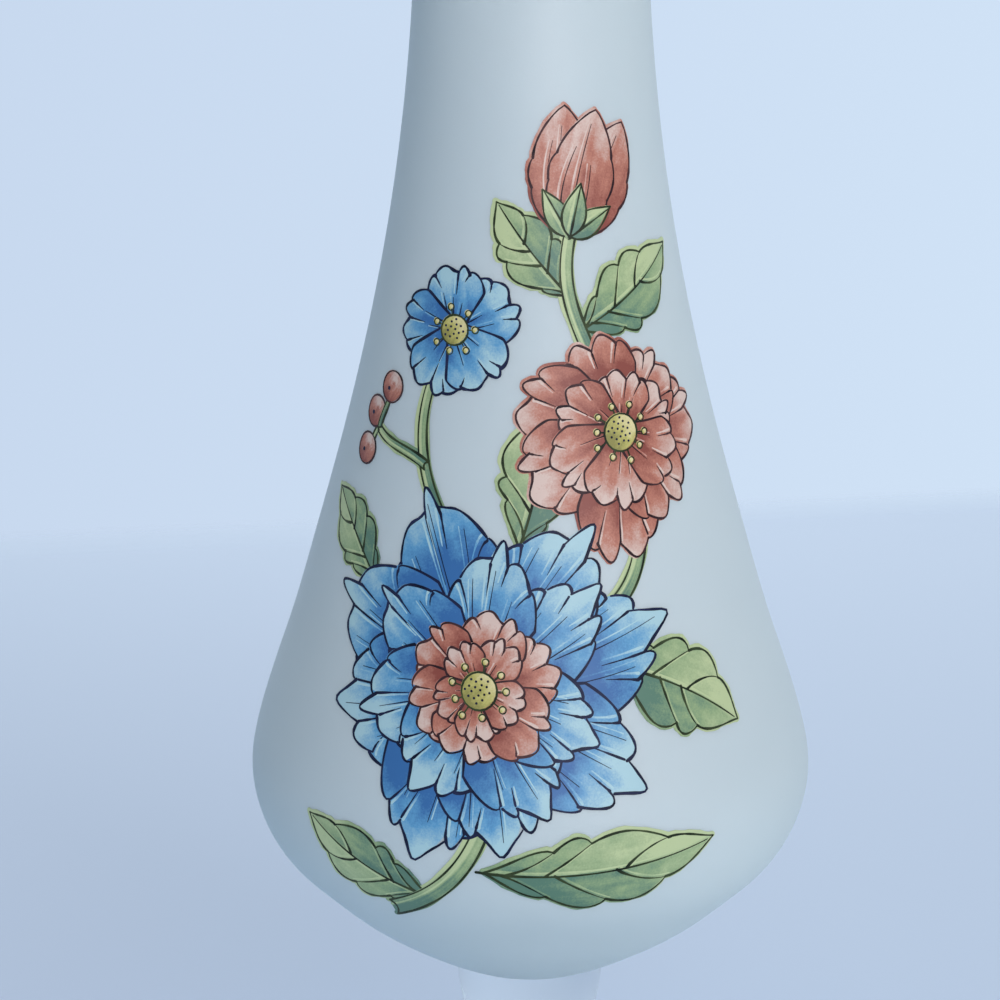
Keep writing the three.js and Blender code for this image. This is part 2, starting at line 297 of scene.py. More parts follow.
# A leaf's midrib, the crease beside it, and the share that a vein takes on its way to the edge
MIDRIB_ENDS = (-0.03, 0.97)
MIDRIB_ASIDE = -0.08
CREASE_END = 0.93
CREASE_ASIDE = 0.2
LEAF_VEIN_SHARE = 0.2
LEAF_VEIN_CURVE = 0.85

# Stalks, spots, berries, stamens, seeds and line ends
STALK_END_DEPTH = 0.035
STALK_SHINE_PLACE = 0.65
SPOT_REACH = 0.7
BERRY_RADIUS = 1.9
BERRY_STEM = {"width": 0.7, "tip_width": 0.6}
BERRY_STEM_PULL = np.array([-0.3, 0.8])
BERRY_SHINE_PLACE = (0.55, 0.6)
BERRY_SHINE_RADIUS = 0.55
BERRY_CROWN_PLACE = (-0.5, -0.3)
BERRY_CROWN_RADIUS = 0.25
STAMEN_POINTS = 5
STAMEN_REACH = 1.5
STAMEN_RADIUS = 0.4
SEEDS_TURN = 2.4
SEEDS_REACH = 0.75
SEED_RADIUS = 0.14
DISC_TURN = 0.4
ROUND_END_SIZE = 0.98
LEAST_ROUND_END = 0.08
LEAST_AREA = 1e-5

# Where the shapes are, and their sizes
LEAVES = {
    "top_left": {"x": 4.4, "z": 38, "angle": 2.35, "length": 14, "width": 7, "bend": -0.12, "seed": 6},
    "top_right": {"x": 5.8, "z": 34, "angle": 0.5, "length": 17, "width": 8.5, "bend": 0.16, "seed": 7},
    "middle": {"x": -1.5, "z": 9, "angle": 1.2, "length": 17, "width": 8.5, "bend": 0.22, "seed": 3},
    "left": {"x": -20, "z": 4, "angle": 2.2, "length": 14, "width": 7, "bend": 0.1, "seed": 5.5},
    "right": {"x": 9, "z": -4, "angle": -0.25, "length": 20, "width": 9.5, "bend": -0.16, "seed": 4},
    "low_right": {"x": -5.5, "z": -27.5, "angle": -0.1, "length": 28, "width": 9, "bend": 0.2, "seed": 2},
    "low_left": {"x": -12, "z": -31.5, "angle": 2.9, "length": 19, "width": 7.5, "bend": -0.2, "seed": 1},
}
for place in LEAVES:
    PRINT[f"{place}_leaf"] = ("enamel_green", [f"{place}_leaf"])
LEAF_EDGE = {"lobes": 4, "depth": 0.16}
STALKS = [
    {"root": (-8, 8), "pulls": ((-13, 14), (-16, 22)), "tip": (-11.5, 30), "width": 1.5, "tip_width": 1.1},
    {"root": (-13, 18), "pulls": ((-16, 20), (-19, 20)), "tip": (-21, 22), "width": 1.1, "tip_width": 0.9},
    {"root": (8.5, 28), "pulls": ((6, 34), (3, 38)), "tip": (4.5, 45), "width": 1.7, "tip_width": 1.4},
    {"root": (6, 0), "pulls": ((11.5, 2), (14.5, 7)), "tip": (13, 14), "width": 1.8, "tip_width": 1.5},
    {"root": (-17, -34), "pulls": ((-12, -32), (-7, -28)), "tip": (-5, -20), "width": 2.4, "tip_width": 1.7},
]
TWIG = 1
BERRIES = [(-23.5, 19.5), (-22, 24), (-19, 27)]
TULIP = {**BLADE, "x": 4.5, "z": 45, "angle": 1.35}
TULIP_PETAL = {"length": 15.5, "width": 8.4, "widest": 0.45, "fullness": 0.75, "depth": 0.05}
TULIP_SPREAD = 0.36
TULIP_BEND = -0.1
SEPAL = {"length": 6.5, "width": 3, "widest": 0.4, "lobes": 1, "depth": 0}
SEPAL_SPREAD = 0.75
BLUE_BLOOM = {"x": -6, "z": -7}
RUST_BLOOM = {"x": 11, "z": 22}
BLOSSOM = {"x": -9.5, "z": 34}

# Whorls of petals, the outer one first. A lean is the angle of the side where petals are longer, and by how
# much. Colour runs on a petal from dark to pale, starting at shade_from.
BLOSSOM_WHORL = {**BLOSSOM, "petals": 5, "first_angle": 0.4, "length": 8, "width": 8.2, "shade_from": 0.1}
RUST_PETAL = {**RUST_BLOOM, "depth": 0.1, "lean": (-2.2, 0.12)}
RUST_WHORLS = [
    {**RUST_PETAL, "petals": 7, "first_angle": 0.1, "length": 12.6, "width": 10.5, "shade_from": 0.45},
    {**RUST_PETAL, "petals": 6, "first_angle": 0.5, "length": 8.4, "width": 8, "shade_from": 0.15},
]
POINTED_END = {"notch": -0.1, "notch_width": 0.17, "rounding": 0.5}
BLUE_PETAL = {**BLUE_BLOOM, **POINTED_END, "lobes": 5, "lean": (1.2, 0.09)}
OUTER_PETAL = {**BLUE_PETAL, "veins": 0.86, "depth": 0.08}
INNER_PETAL = {**BLUE_PETAL, "veins": 0.78, "depth": 0.09}
BLUE_WHORLS = [
    {**OUTER_PETAL, "petals": 8, "first_angle": 0.25, "length": 19.5, "width": 15, "shade_from": 0.6},
    {**INNER_PETAL, "petals": 7, "first_angle": 0.6, "length": 14.5, "width": 11.5, "shade_from": 0.4},
]
HEART_PETAL = {**BLUE_BLOOM, "depth": 0.1, "lean": (1.2, 0.06)}
HEART_WHORLS = [
    {**HEART_PETAL, "petals": 6, "first_angle": 0.3, "length": 8.8, "width": 8.4, "shade_from": 0.35},
    {**HEART_PETAL, "petals": 5, "first_angle": 0.9, "length": 5.8, "width": 5.4, "shade_from": 0.2},
]

# Each eye's flower, its radius, and how many stamens stand round it
EYES = {
    "blossom_eye": (BLOSSOM, 1.8, 7),
    "rust_bloom_eye": (RUST_BLOOM, 2.2, 10),
    "blue_bloom_eye": (BLUE_BLOOM, 2.1, 9),
}

# Areas of the print from the lowest to the topmost. Each has its piece, its outlines, the shape that its
# colour follows, and its tone. One that hides has a single outline.
areas = []


def steps(start, end, count=12):
    return np.linspace(start, end, count + 1)


def stray(what, phase):
    """How far a thing strays. Its phase is mixed from numbers and seeds, with given factors."""
    return STRAY[what] * math.sin(phase)


def direction(angle):
    return np.array([math.cos(angle), math.sin(angle)])


def beside(points, along, across):
    normal = np.stack([-along[..., 1], along[..., 0]], -1) / np.linalg.norm(along, axis=-1)[..., None]
    return points + normal * np.asarray(across, float)[..., None]


def spine_point(shape, share, across=0.0):
    """Points beside a shape's spine, which is a cubic curve or leaves its base at an angle and bends."""
    share, across = np.broadcast_arrays(np.asarray(share, float), np.asarray(across, float))
    if "pulls" in shape:
        ends = np.array([shape["root"], *shape["pulls"], shape["tip"]], float)
        rest = 1 - share
        weights = np.stack([rest**3, 3 * rest**2 * share, 3 * rest * share**2, share**3], -1)
        slopes = [-(rest**2), rest**2 - 2 * rest * share, 2 * rest * share - share**2, share**2]
        return beside(weights @ ends, np.stack(slopes, -1) @ ends, across)
    angle, length, bend = shape["angle"], shape["length"], shape.get("bend", 0)
    run, drift = share * length, bend * length * share**2
    forward = direction(angle)
    left = np.array([-forward[1], forward[0]])
    points = np.array([shape["x"], shape["z"]]) + run[..., None] * forward + drift[..., None] * left
    along = forward + 2 * bend * share[..., None] * left
    return beside(points, along, across)


def located(shape, points):
    """Each point's share of a shape's spine, and its distance beside it in half widths."""
    spine = spine_point(shape, SPINE_SHARES)
    gaps = points[:, None] - spine[None]
    nearest = np.clip(np.argmin((gaps**2).sum(2), axis=1), 1, len(spine) - 2)
    along = spine[nearest + 1] - spine[nearest - 1]
    gap = points - spine[nearest]
    length = np.linalg.norm(along, axis=1)
    spacing = SPINE_SHARES[1] - SPINE_SHARES[0]
    share = SPINE_SHARES[nearest] + (gap * along).sum(1) / length**2 * 2 * spacing
    across = (along[:, 0] * gap[:, 1] - along[:, 1] * gap[:, 0]) / length / (shape["width"] / 2)
    return share, across


def lobe(step):
    """How far a lobe stands out, from 0 at its notches to 1."""
    return np.clip(np.sin(np.pi * step**LOBE_LEAN), 0, 1) ** LOBE_FULLNESS


def notches(shape, side):
    """The shares at which a blade's edge has its notches."""
    count = shape["lobes"]
    phases = [3.1 * i + 5.3 * shape["seed"] + side for i in range(1, count)]
    return [(i + 1 + stray("blade_notch", phase)) / count for i, phase in enumerate(phases)]


def blade_point(shape, share, side):
    """A point of a leaf or a pointed petal, widest at a share of its length."""
    power = math.log(0.5) / math.log(shape["widest"])
    arch = np.clip(np.sin(np.pi * np.clip(share, 0, 1) ** power), 0, 1) ** shape["fullness"]
    return spine_point(shape, share, side * shape["width"] / 2 * arch)


def blade_edge(shape, side):
    """One edge of a blade from its base to its tip, as an arc for each of its lobes."""
    cuts = [0, *notches(shape, side), 1]
    step = steps(0, 1, LOBE_STEPS)
    swell = 1 + shape["depth"] * (LOBE_SWELL * lobe(step) - 1)
    return [blade_point(shape, low + (high - low) * step, side * swell) for low, high in zip(cuts, cuts[1:])]


def fan_point(shape, reach, side, ruffle=0.0):
    """A point of a broad petal with a narrow base. Its round end has a notch in it, or a point where that is
    negative."""
    round_end = np.sqrt(np.clip(1 - side**2, 0, 1))
    notch = shape["notch"] * np.exp(-((side / shape["notch_width"]) ** 2))
    end = 1 - shape["rounding"] * (1 - round_end) - notch + ruffle * round_end
    half = shape["width"] / 2 * (shape["base"] + (1 - shape["base"]) * np.sin(np.pi / 2 * reach))
    return spine_point(shape, reach * (1 + (end - 1) * reach), side * half)


def fan_notches(shape):
    """The sides at which a broad petal's end has its notches."""
    turns = np.linspace(-LOBES_TURN, LOBES_TURN, shape["lobes"] + 1)[1:-1]
    phases = 3.1 * np.arange(len(turns)) + 5.3 * shape["seed"]
    return np.sin(turns + STRAY["petal_notch"] * np.sin(phases))


def fan_edge(shape):
    """A broad petal's edge from its base round to its base, as an arc for each of its lobes."""
    cuts = [-math.pi / 2, *np.arcsin(fan_notches(shape)), math.pi / 2]
    step = steps(0, 1, LOBE_STEPS)
    arcs = []
    for number, (low, high) in enumerate(zip(cuts, cuts[1:])):
        depth = shape["depth"] * (1 + stray("lobe_depth", 7 * shape["seed"] + 4 * number))
        side = np.sin(low + (high - low) * step)
        arcs.append(fan_point(shape, 1, side, depth * (lobe(step) - LOBE_CUT)))
    arcs[0] = np.concatenate([fan_point(shape, step, np.float64(-1)), arcs[0][1:]])
    arcs[-1] = np.concatenate([arcs[-1], fan_point(shape, step[::-1], np.float64(1))[1:]])
    return arcs


def joined(arcs):
    return np.concatenate([arc[:-1] for arc in arcs])


def paint(piece, outline, shape, tone=0.0):
    areas.append({"piece": piece, "outlines": [outline], "shape": shape, "tone": tone, "hides": True})


def facing(a, b, c):
    """A triangle whose corners run anticlockwise, or None where it is flat."""
    area = ((b[0] - a[0]) * (c[1] - a[1]) - (b[1] - a[1]) * (c[0] - a[0])) / 2
    if abs(area) < LEAST_AREA:
        return None
    return np.array([a, b, c] if area > 0 else [a, c, b])


def disc(centre, radius, corners=9):
    turns = np.arange(corners) * 2 * np.pi / corners + DISC_TURN
    return np.asarray(centre) + radius * np.stack([np.cos(turns), np.sin(turns)], 1)


def stroke(points, line, piece, shape=None, tone=0.0):
    """A pen or brush line along the points. Its width wavers."""
    width, start, end = line
    points = np.asarray(points)
    share = np.linspace(0, 1, len(points))
    waver = 1
    for (depth, pace, shift), place in zip(LINE_WAVES, points[0]):
        waver = waver + depth * np.sin(pace * share + shift * place)
    half = width / 2 * (start + (end - start) * share) * waver
    along = np.gradient(points, axis=0)
    left, right = beside(points, along, half), beside(points, along, -half)
    outlines = []
    for i in range(len(points) - 1):
        outlines += [facing(right[i], right[i + 1], left[i + 1]), facing(right[i], left[i + 1], left[i])]
    outlines = [triangle for triangle in outlines if triangle is not None]
    outlines += [disc(points[i], half[i] * ROUND_END_SIZE) for i in (0, -1) if half[i] > LEAST_ROUND_END]
    areas.append({"piece": piece, "outlines": outlines, "shape": shape, "tone": tone, "hides": False})


def ink(piece, points, line):
    """A pen line on a piece. Its ink leans to the piece's own colour, and was printed a little aside."""
    tint, pen = PENS[PRINT[piece][0]]
    width, *ends = line
    stroke(points + INK_SLIP, (width * pen, *ends), INK, None, tint)


def ink_edges(piece, edges):
    for edge in edges:
        ink(piece, edge, OUTLINE)


def shaded_line(piece, shape, place, run, lane, kind):
    """An ink line along shares and sides of a shape, with a pale stroke beside it."""
    line, shine, shift = kind
    stroke(place(shape, run + shift[0], lane + shift[1]), shine, piece, shape, PALE)
    ink(piece, place(shape, run, lane), line)


def fringe(piece, edges, shape, kind):
    """Colour that stands out a little past the ink, as the print's greens and reds do."""
    line, tone = kind
    for edge in edges:
        stroke(edge, line, piece, shape, tone)


def blade(piece, shape):
    """A leaf's or a pointed petal's area. Returns its two edges."""
    low, high = blade_edge(shape, -1), blade_edge(shape, 1)
    paint(piece, joined(low + [edge[::-1] for edge in high[::-1]]), shape, shape.get("tone", 0))
    return low + high


def blade_fringe(piece, shape, kind):
    fringe(piece, blade_edge(shape, -1) + blade_edge(shape, 1), shape, kind)


def pointed_petal(piece, shape):
    edges = blade(piece, shape)
    aside = stray("tulip_lines", 7 * shape["seed"])
    for side, end in TULIP_LINES:
        run = steps(TULIP_LINES_START, end + stray("tulip_line_end", 9 * side + shape["seed"]))
        lane = aside + side * (1 - TULIP_LINES_CLOSING * steps(0, 1))
        shaded_line(piece, shape, blade_point, run, lane, TULIP_LINE)
    ink_edges(piece, edges)


def broad_petal(piece, shape):
    """A petal with a lobed end. Folds run in from its notches and veins run out from its base."""
    edges = fan_edge(shape)
    paint(piece, joined(edges), shape, shape["tone"])
    for side in fan_notches(shape):
        end = FOLD_END + stray("fold_end", 5 * shape["seed"] + 9 * side)
        run = steps(1 - shape["depth"], end, count=8)
        lane = side * (1 - FOLD_CLOSING + FOLD_CLOSING * steps(1, 0, count=8))
        shaded_line(piece, shape, fan_point, run, lane, FOLD)
    for side in VEIN_SIDES:
        end = shape["veins"] + stray("vein_end", 9 * side + 3 * shape["seed"])
        run = steps(VEIN_START, end, count=10)
        lane = side * (1 - VEIN_CLOSING + VEIN_CLOSING * run)
        shaded_line(piece, shape, fan_point, run, lane, PETAL_VEIN)
    ink_edges(piece, edges)


def petal_fringe(piece, shape):
    fringe(piece, fan_edge(shape), shape, PETAL_FRINGE)


def leaf(piece, shape):
    edges = blade(piece, shape)
    crease = spine_point(shape, steps(0, CREASE_END, count=24), CREASE_ASIDE)
    stroke(crease, CREASE_SHINE, piece, shape, PALE)
    for side in (-1, 1):
        for cut_share in notches(shape, side):
            step = steps(0, 1)
            run = cut_share - LEAF_VEIN_SHARE + LEAF_VEIN_SHARE * step
            lane = side * (1 - shape["depth"]) * step**LEAF_VEIN_CURVE
            shaded_line(piece, shape, blade_point, run, lane, LEAF_VEIN)
    ink(piece, spine_point(shape, steps(*MIDRIB_ENDS, count=24), MIDRIB_ASIDE), MIDRIB)
    ink_edges(piece, edges)


def stalk_edges(shape):
    """The right and the left edge of a stalk, from its root to its tip."""
    shares = steps(0, 1, count=30)
    half = (shape["width"] + (shape["tip_width"] - shape["width"]) * shares) / 2
    return spine_point(shape, shares, -half), spine_point(shape, shares, half)


def stalk(piece, shape):
    right, left = stalk_edges(shape)
    paint(piece, np.concatenate([right, left[::-1]]), shape)
    shine = (1 - STALK_SHINE_PLACE) * right + STALK_SHINE_PLACE * left
    stroke(shine, STALK_SHINE, piece, shape, PALE)
    ink(piece, right, STALK_RIGHT)
    ink(piece, left, STALK_LEFT)
    across = steps(-1, 1, count=8)
    end = spine_point(shape, STALK_END_DEPTH * (1 - across**2), across * shape["width"] / 2)
    ink(piece, end, STALK_END)


def spot(piece, centre, radius, tone=0.0, rim=None):
    """A round area, inked where it has a rim. Its colour runs from its lower left to its upper right."""
    shape = {"x": centre[0] - SPOT_REACH * radius, "z": centre[1] - SPOT_REACH * radius, "angle": math.pi / 4}
    shape |= {"length": 2 * radius, "width": 2 * radius}
    edge = disc(centre, radius, corners=20)
    paint(piece, edge, shape, tone)
    if rim:
        ink(piece, np.concatenate([edge, edge[:2]]), rim)


def berry(centre):
    """A berry on a short stem from the twig's end, with a pale shine and a dark crown."""
    root, tip = np.array(STALKS[TWIG]["tip"]), np.array(centre)
    pulls = (root + BERRY_STEM_PULL, tip - BERRY_STEM_PULL)
    stalk("stalks", {"root": root, "pulls": pulls, "tip": tip, **BERRY_STEM})
    spot("berries", tip, BERRY_RADIUS, rim=RIM)
    spot("berries", tip + BERRY_SHINE_PLACE, BERRY_SHINE_RADIUS, PALE)
    spot(INK, tip + BERRY_CROWN_PLACE, BERRY_CROWN_RADIUS)


def whorl(draw, piece, shape):
    """Petals round a centre, a little uneven as if drawn by hand."""
    count, first_angle = shape["petals"], shape["first_angle"]
    towards, lean = shape.get("lean", (0, 0))
    for i in range(count):
        angle = first_angle + 2 * math.pi * i / count + stray("petal_angle", 4.1 * i)
        length = shape["length"] * (1 + stray("petal_length", 2.7 * i + 1))
        petal = {
            "angle": angle,
            "length": length * (1 + lean * math.cos(angle - towards)),
            "width": shape["width"] * (1 + stray("petal_width", 5.1 * i)),
            "bend": stray("petal_bend", 3.7 * i + 2),
            "tone": stray("petal_tone", 8.3 * i + first_angle),
            "seed": i + 10 * first_angle,
        }
        draw(piece, {**BROAD, **shape, **petal})


def eye(piece):
    """A flower's eye with its seeds, and a ring of stamens round it."""
    flower, radius, count = EYES[piece]
    centre = np.array([flower["x"], flower["z"]])
    for i in range(count):
        turn = 2 * math.pi * i / count + stray("stamen_turn", 5 * i)
        reach = radius * (STAMEN_REACH + stray("stamen_reach", 3.3 * i))
        tip = centre + reach * direction(turn)
        ink(piece, np.linspace(centre, tip, STAMEN_POINTS), STAMEN)
        spot(piece, tip, STAMEN_RADIUS, STAMEN_TONE, STAMEN_RIM)
    spot(piece, centre, radius, rim=RIM)
    for i in range(2 * count):
        reach = radius * SEEDS_REACH * math.sqrt((i + 0.5) / (2 * count))
        spot(INK, centre + reach * direction(SEEDS_TURN * i), SEED_RADIUS)


def draw_greenery():
    leaves = {f"{place}_leaf": {**BLADE, **shape, **LEAF_EDGE} for place, shape in LEAVES.items()}
    for piece, shape in leaves.items():
        blade_fringe(piece, shape, LEAF_FRINGE)
    for shape in STALKS:
        fringe("stalks", stalk_edges(shape), shape, LEAF_FRINGE)
    for piece, shape in leaves.items():
        leaf(piece, shape)
    for shape in STALKS:
        stalk("stalks", shape)
    for centre in BERRIES:
        berry(centre)


def draw_tulip():
    petals = []
    for side in (-1, 1, 0):
        petal = {"angle": TULIP["angle"] + TULIP_SPREAD * side, "bend": TULIP_BEND * side, "seed": side + 2}
        petals.append({**TULIP, **TULIP_PETAL, **petal, "tone": TULIP_SIDE_TONE * abs(side)})
    for shape in petals:
        blade_fringe("tulip_petals", shape, PETAL_FRINGE)
    for shape in petals:
        pointed_petal("tulip_petals", shape)
    for side in (-1, 1, 0):
        leaf("tulip_cup", {**TULIP, **SEPAL, "angle": TULIP["angle"] + SEPAL_SPREAD * side, "seed": side})


def draw_blooms():
    whorl(petal_fringe, "rust_petals", RUST_WHORLS[0])
    for shape in RUST_WHORLS:
        whorl(broad_petal, "rust_petals", shape)
    eye("rust_bloom_eye")
    for shape in BLUE_WHORLS:
        whorl(broad_petal, "blue_petals", shape)
    for shape in HEART_WHORLS:
        whorl(broad_petal, "blue_bloom_heart", shape)
    eye("blue_bloom_eye")


def draw_print():
    draw_greenery()
    whorl(broad_petal, "blossom_petals", BLOSSOM_WHORL)
    eye("blossom_eye")
    draw_tulip()
    draw_blooms()


# Laying the print on the skin. Its areas are cut where they overlap, so that the topmost one is left.

PRINT_RISE = 23
LATTICE_STEP = 1.1
LATTICE_ROW = 0.87
CUT_CLOSENESS = 1e-4
FILM_BED = -0.03 * MM
FILM_TOP = 0.05 * MM
INK_TOP = 0.075 * MM


def lattice(points):
    """Evenly spaced points over and round a drawing, which let its flat triangles follow the round skin."""
    low, high = points.min(axis=0) - LATTICE_STEP, points.max(axis=0) + 2 * LATTICE_STEP
    found = []
    for row, z in enumerate(np.arange(low[1], high[1], LATTICE_STEP * LATTICE_ROW)):
        start = low[0] + (row % 2) * LATTICE_STEP / 2
        found += [(x, z) for x in np.arange(start, high[0], LATTICE_STEP)]
    return found


def inside(outline, points):
    """Which points an outline runs round, at least once more one way than the other."""
    (x0, z0), (x1, z1) = outline.T[:, None], np.roll(outline, -1, axis=0).T[:, None]
    x, z = points[:, 0, None], points[:, 1, None]
    beside_edge = (x1 - x0) * (z - z0) - (x - x0) * (z1 - z0)
    upward = (z0 <= z) & (z < z1) & (beside_edge > 0)
    downward = (z1 <= z) & (z < z0) & (beside_edge < 0)
    return upward.sum(axis=1) != downward.sum(axis=1)


def topmost_areas(middles):
    """For each point the number of the topmost area that covers it, or -1."""
    found = np.full(len(middles), -1)
    order = np.argsort(middles[:, 0])
    columns = middles[order, 0]
    for number, area in enumerate(areas):
        for outline in area["outlines"]:
            low, high = outline.min(axis=0), outline.max(axis=0)
            near = order[slice(*np.searchsorted(columns, (low[0], high[0])))]
            near = near[(middles[near, 1] > low[1]) & (middles[near, 1] < high[1])]
            found[near[inside(outline, middles[near])]] = number
    return found


def leave_out_hidden():
    """Takes the outlines off that lie wholly under one area painted later."""
    entries = [(number, outline) for number, area in enumerate(areas) for outline in area["outlines"]]
    lows = np.array([outline.min(axis=0) for _, outline in entries])
    highs = np.array([outline.max(axis=0) for _, outline in entries])
    numbers = np.array([number for number, _ in entries])
    hidden = np.zeros(len(entries), bool)
    for number, area in enumerate(areas):
        if not area["hides"]:
            continue
        cover = area["outlines"][0]
        within = (lows > cover.min(axis=0)).all(axis=1) & (highs < cover.max(axis=0)).all(axis=1)
        for index in np.flatnonzero(within & (numbers < number) & ~hidden):
            hidden[index] = inside(cover, entries[index][1]).all()
    for number, area in enumerate(areas):
        area["outlines"] = [entries[index][1] for index in np.flatnonzero((numbers == number) & ~hidden)]


def cut(points, edges):
    """Triangles that keep to the edges: all corners, the numbers of each one's corners, and of its area."""
    points = [Vector(p) for p in np.concatenate([points, lattice(points)])]
    made = delaunay_2d_cdt(points, edges, [], 0, CUT_CLOSENESS)
    corners, triangles = np.array(made[0]), np.array(made[2])
    return corners, triangles, topmost_areas(corners[triangles].mean(axis=1))


def borders(triangles, owners):
    """The edges between triangles of unlike areas. Without a shape, areas differ only by piece and tone."""
    looks = []
    for number, area in enumerate(areas):
        looks.append((area["piece"], area["tone"]) if area["shape"] is None else number)
    numbers = {look: number for number, look in enumerate(looks)}
    kinds = np.array([numbers[look] for look in looks] + [-1])[owners]
    edges = np.sort(triangles[:, [0, 1, 1, 2, 2, 0]].reshape(-1, 2), axis=1)
    order = np.lexsort(edges.T)
    edges, kinds = edges[order], np.repeat(kinds, 3)[order]
    between = (edges[1:] == edges[:-1]).all(axis=1) & (kinds[1:] != kinds[:-1])
    return edges[1:][between]


def cut_print():
    """The print's triangles, as cut() gives them. The second cut leaves out the edges that the first hid."""
    leave_out_hidden()
    outlines = [outline for area in areas for outline in area["outlines"]]
    edges, first = [], 0
    for outline in outlines:
        count = len(outline)
        edges += [(first + i, first + (i + 1) % count) for i in range(count)]
        first += count
    corners, triangles, owners = cut(np.concatenate(outlines), edges)
    used, edges = np.unique(borders(triangles, owners), return_inverse=True)
    corners, triangles, owners = cut(corners[used], edges.reshape(-1, 2).tolist())
    return corners, triangles[owners >= 0], owners[owners >= 0]


def on_skin(points):
    """Where points of the drawing lie on the skin, and the skin's normals there."""
    radii, heights = outer_skin.T
    height = heights[np.argmax(radii)] + (PRINT_RISE + points[:, 1]) * MM
    radius = np.interp(height, heights, radii)
    turn = points[:, 0] * MM / radius
    slope = np.interp(height, heights, np.gradient(radii, heights))
    places = np.stack([radius * np.sin(turn), -radius * np.cos(turn), height], 1)
    normals = np.stack([np.sin(turn), -np.cos(turn), -slope], 1)
    return places, normals / np.linalg.norm(normals, axis=1)[:, None]


def film(name, points, triangles, brush, top):
    """A closed thin film of enamel. A brush holds each corner's share, side and tone."""
    used, local = np.unique(triangles, return_inverse=True)
    local = local.reshape(-1, 3)
    count = len(used)
    owners = {}
    for t, (a, b, c) in enumerate(local.tolist()):
        for k, edge in enumerate(((a, b), (b, c), (c, a))):
            owners[edge] = (t, k)
    rim = [(edge, *owner) for edge, owner in owners.items() if edge[::-1] not in owners]
    places, normals = on_skin(points[used])
    vertices = np.concatenate([places + top * normals, places + FILM_BED * normals])
    faces = local.tolist() + (local[:, ::-1] + count).tolist()
    faces += [(b, a, a + count, b + count) for (a, b), _, _ in rim]
    mesh = bpy.data.meshes.new(name)
    mesh.from_pydata(vertices.tolist(), [], faces)
    walls = [brush[t, corner] for _, t, k in rim for corner in ((k + 1) % 3, k, k, (k + 1) % 3)]
    values = np.concatenate([brush.reshape(-1, 3), brush[:, ::-1].reshape(-1, 3), np.reshape(walls, (-1, 3))])
    mesh.attributes.new("brush", "FLOAT_VECTOR", "CORNER").data.foreach_set("vector", values.ravel())
    mesh.shade_smooth()
    mesh.normals_split_custom_set_from_vertices(np.concatenate([normals, -normals]).tolist())
    return placed(name, mesh)


def printed_films():
    draw_print()
    points, triangles, owner = cut_print()
    films = {}
    for name in dict.fromkeys(area["piece"] for area in areas):
        numbers = [n for n, area in enumerate(areas) if area["piece"] == name]
        mine = np.isin(owner, numbers)
        brush = np.zeros((mine.sum(), 3, 3))
        for n in numbers:
            shape = areas[n]["shape"]
            own = owner[mine] == n
            brush[own, :, 2] = areas[n]["tone"]
            if shape is None or not own.any():
                continue
            share, side = located(shape, points[triangles[mine][own]].reshape(-1, 2))
            start = shape.get("shade_from", 0)
            brush[own, :, 0] = ((share - start) / (1 - start)).reshape(-1, 3)
            brush[own, :, 1] = side.reshape(-1, 3)
        films[name] = film(name, points, triangles[mine], brush, INK_TOP if name == INK else FILM_TOP)
    return films


# Materials

def srgb(red, green, blue):
    """A colour as a picture shows it, from 0 to 255, in the linear values that shaders use."""
    values = np.array([red, green, blue]) / 255
    linear = np.where(values <= 0.04045, values / 12.92, ((values + 0.055) / 1.055) ** 2.4)
    return (*linear.tolist(), 1)


NOISE_MIDDLE = 0.5
GLASS_IOR = 1.5
OPAL = [(0.3, srgb(206, 221, 226)), (0.7, srgb(212, 226, 230))]
FROST_DEPTH = 0.12
SPECK = srgb(96, 104, 110)
SPECK_SPACING = 9 * MM
SPECK_RARITY = 0.55
SPECK_EDGE = (0.01, 0.022)
SPECK_STRENGTH = 0.4
CLEAR = [(0, srgb(249, 253, 253)), (1, srgb(254, 255, 255))]
CLEAR_SHADOW = srgb(242, 247, 248)
WAVES_STRETCH = (0.25, 0.25, 1)
INK_DARK = [(0, srgb(8, 16, 40)), (0.5, srgb(28, 16, 24)), (1, srgb(20, 30, 18))]
INK_LIGHT = [(0, srgb(38, 46, 80)), (0.5, srgb(84, 56, 58)), (1, srgb(68, 82, 52))]

# Each enamel's dark, middle and pale colour, and how much its tone differs between a shape's two sides
ENAMELS = {
    "blue": ((54, 113, 175), (99, 167, 212), (180, 219, 229), 0.1),
    "rust": ((147, 76, 64), (198, 130, 110), (230, 205, 193), 0.1),
    "green": ((94, 134, 114), (154, 180, 133), (198, 214, 163), 0.22),
    "gold": ((150, 146, 80), (200, 194, 112), (236, 226, 170), 0),
}
ENAMEL_STOPS = (0.1, 0.5, 0.95)
SIDES_BLEND = 0.12
STREAKS_ACROSS = 2.6
STREAKS_ALONG = 1.1

# How much an enamel's colour changes along a shape, and in streaks, blots and fine grain
WASH = 0.95
STREAKS = 0.9
BLOTS = 0.7
GRAIN = 0.42


